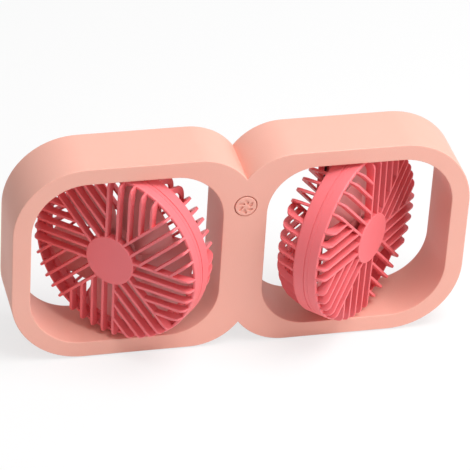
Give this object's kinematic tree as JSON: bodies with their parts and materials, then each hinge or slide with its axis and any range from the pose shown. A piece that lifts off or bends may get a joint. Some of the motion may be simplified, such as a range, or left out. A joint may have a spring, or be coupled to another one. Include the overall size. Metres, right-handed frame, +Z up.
{
  "type": "dual-head desk fan",
  "caption": "Desk fan with a pair of round grille heads, each turning on an upright axis inside its own opening of a twin-ring frame, with a push button between them.",
  "frame": {"origin": "on the plane of the foot pads' undersides, in the middle of the fan's length and of its depth over the turned heads; the swivel axes are at x = -66 and +66 mm, y = -2 mm", "axes": "+X along the frame to the right as seen from the front, +Y to the back, +Z up along the swivel axes"},
  "size_m": [0.26, 0.0896, 0.1248],
  "materials": {
    "frame_plastic": "fine matt mould texture, pale salmon",
    "head_plastic": "satin, coral",
    "fan_plastic": "satin, dusty mauve",
    "silicone": "matt silicone",
    "black_plastic": "moulded, matt",
    "acetal": "natural acetal, slightly waxy",
    "clear_plastic": "milky light guide",
    "steel": "turned and zinc plated",
    "plated_steel": "nickel plated sheet",
    "board": "glass-fibre board with green solder mask",
    "cell_wrap": "shrink wrap over a steel can, plain",
    "foam": "closed-cell foam",
    "red_lead": "insulation",
    "black_lead": "insulation"
  },
  "bodies": {
    "frame": {"front_shell": "frame_plastic", "rear_cover": "frame_plastic", "cover_screws": "steel", "foot_pads": "silicone", "tact_switch": "black_plastic", "control_board": "board", "board_screws": "steel", "charging_board": "board", "charging_socket": "plated_steel", "charge_light": "clear_plastic", "battery_cell": "cell_wrap", "battery_tabs": "plated_steel", "battery_pad": "foam", "battery_leads": "red_lead", "board_leads": "black_lead", "left_frame_leads": "black_lead", "left_upper_bush": "acetal", "left_lower_bush": "acetal", "right_frame_leads": "black_lead", "right_upper_bush": "acetal", "right_lower_bush": "acetal"},
    "button": {"button_cap": "frame_plastic", "switch_plunger": "black_plastic"},
    "left_head": {"left_front_grille": "head_plastic", "left_rear_grille": "head_plastic", "left_upper_pivot": "steel", "left_lower_pivot": "steel", "left_pivot_clips": "steel", "left_friction_washers": "acetal", "left_motor": "plated_steel", "left_motor_screws": "steel", "left_head_leads": "black_lead"},
    "left_fan": {"left_impeller": "fan_plastic", "left_motor_shaft": "steel"},
    "right_head": {"right_front_grille": "head_plastic", "right_rear_grille": "head_plastic", "right_upper_pivot": "steel", "right_lower_pivot": "steel", "right_pivot_clips": "steel", "right_friction_washers": "acetal", "right_motor": "plated_steel", "right_motor_screws": "steel", "right_head_leads": "black_lead"},
    "right_fan": {"right_impeller": "fan_plastic", "right_motor_shaft": "steel"}
  },
  "joints": [
    {"name": "button_press", "type": "slide", "parent": "frame", "child": "button", "axis": [0, 1, 0], "range_m": [0, 0.0005], "stiffness_N_per_m": 600, "springref_m": -0.0005},
    {"name": "left_head_swivel", "type": "hinge", "parent": "frame", "child": "left_head", "pos_m": [-0.066, -0.002, 0.0628], "axis": [0, 0, 1], "range_deg": [-123, 207]},
    {"name": "right_head_swivel", "type": "hinge", "parent": "frame", "child": "right_head", "pos_m": [0.066, -0.002, 0.0628], "axis": [0, 0, 1], "range_deg": [-209, 121]},
    {"name": "left_fan_spin", "type": "hinge", "parent": "left_head", "child": "left_fan", "pos_m": [-0.066, -0.002, 0.0628], "axis": [-0.6691, -0.7431, 0], "continuous": true},
    {"name": "right_fan_spin", "type": "hinge", "parent": "right_head", "child": "right_fan", "pos_m": [0.066, -0.002, 0.0628], "axis": [0.6947, -0.7193, 0], "continuous": true}
  ]
}
